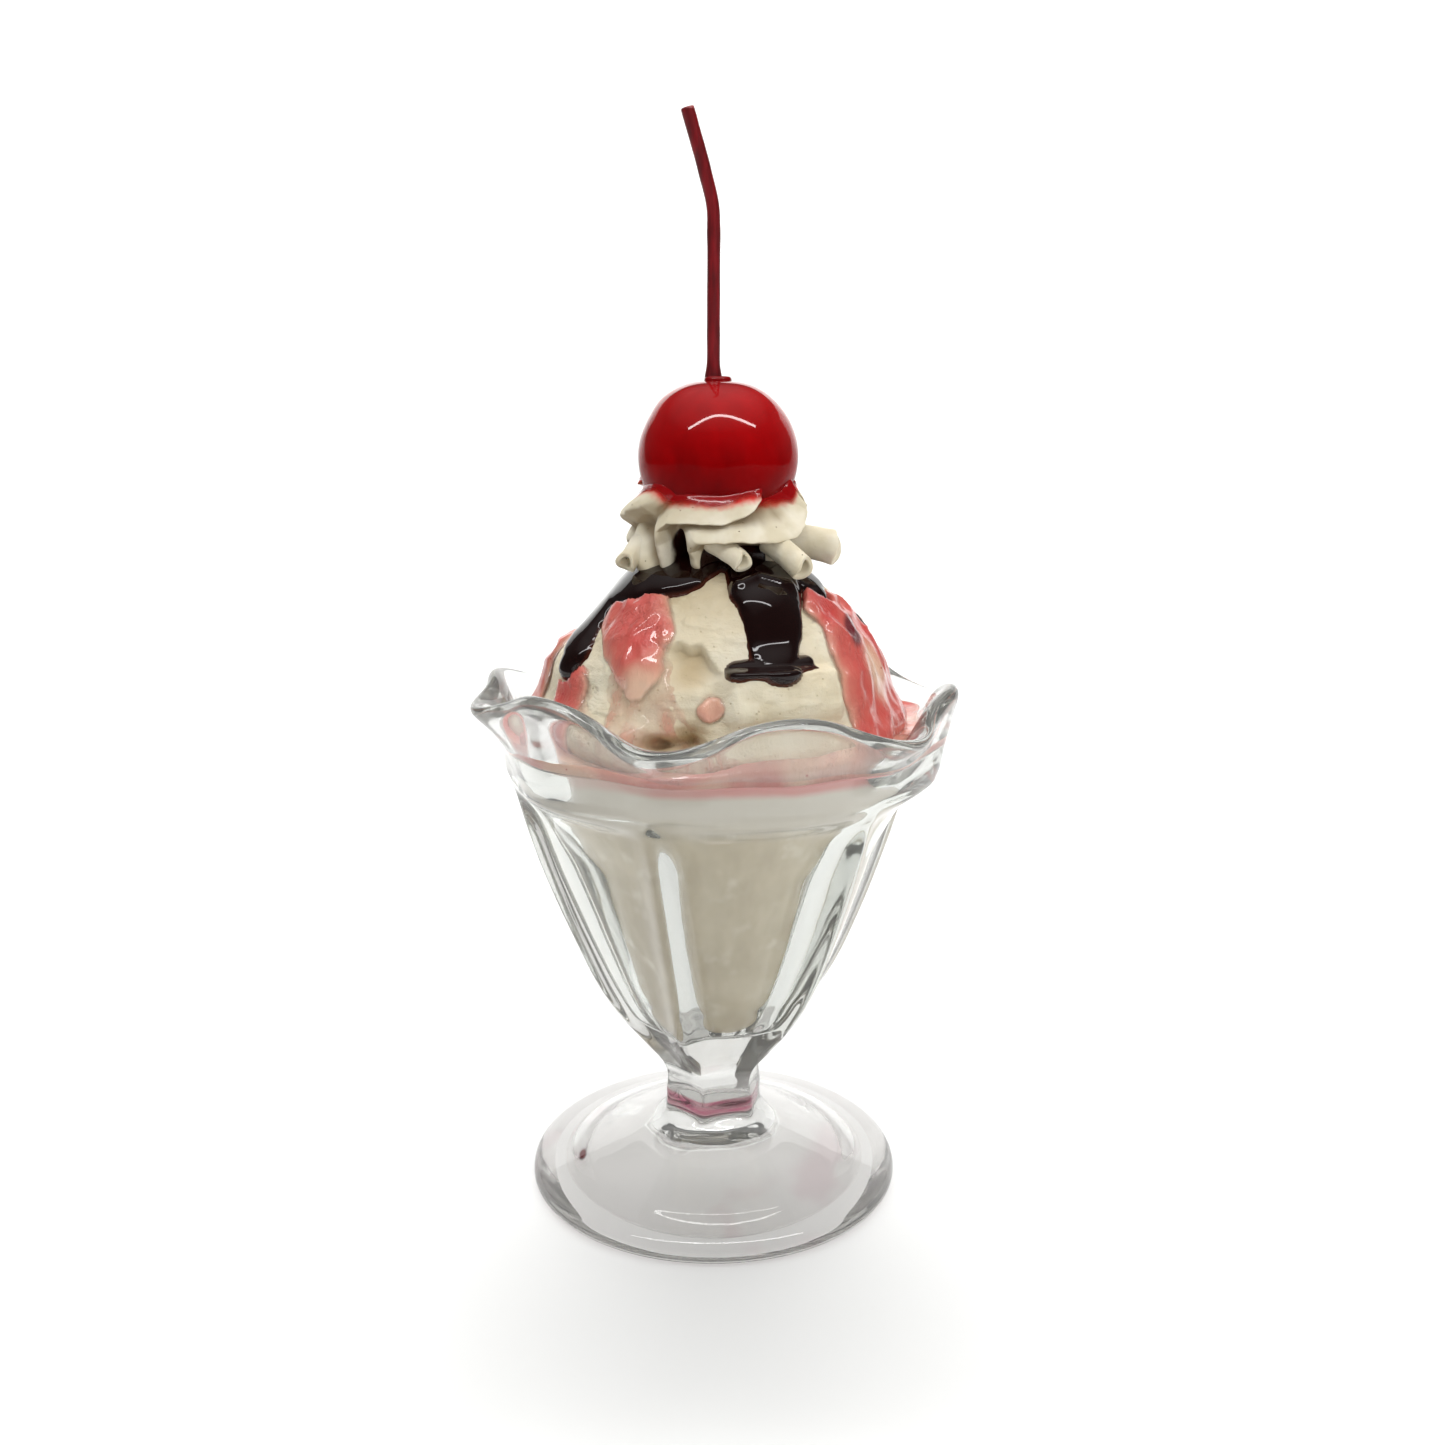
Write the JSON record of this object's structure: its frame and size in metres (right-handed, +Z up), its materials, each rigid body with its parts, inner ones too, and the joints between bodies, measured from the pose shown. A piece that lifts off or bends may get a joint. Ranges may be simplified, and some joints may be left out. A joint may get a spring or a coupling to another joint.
{
  "type": "ice cream sundae",
  "caption": "Ice cream sundae display piece in a footed pressed-glass tulip dish, with sauces, piped cream and a cherry on a long stalk.",
  "frame": {"origin": "on the surface that the dish stands on, under the middle of its foot", "axes": "+Z up through the stem and the cherry; -Y towards the side shown in front, +X to its right"},
  "size_m": [0.09, 0.0916, 0.2039],
  "materials": {
    "dish_glass": "clear pressed glass, smooth and glossy, faintly grey-green where thick",
    "ice_cream": "ivory cast plaster or resin, satin, with small torn pits",
    "fudge": "very dark brown glossy resin, redder where it is thin",
    "strawberry": "translucent pink-red glossy resin, paler where it is thin",
    "cream": "ivory cast plaster, matte, with pinholes and ragged edges",
    "cherry_skin": "deep red high gloss",
    "stalk_skin": "dark maroon, satin"
  },
  "bodies": {
    "root": {"sundae_dish": "dish_glass", "ice_cream_fill": "ice_cream", "ice_cream_scoop": "ice_cream", "fudge_sauce": "fudge", "strawberry_sauce": "strawberry", "whipped_cream": "cream", "cherry": "cherry_skin", "cherry_stalk": "stalk_skin"}
  },
  "joints": []
}
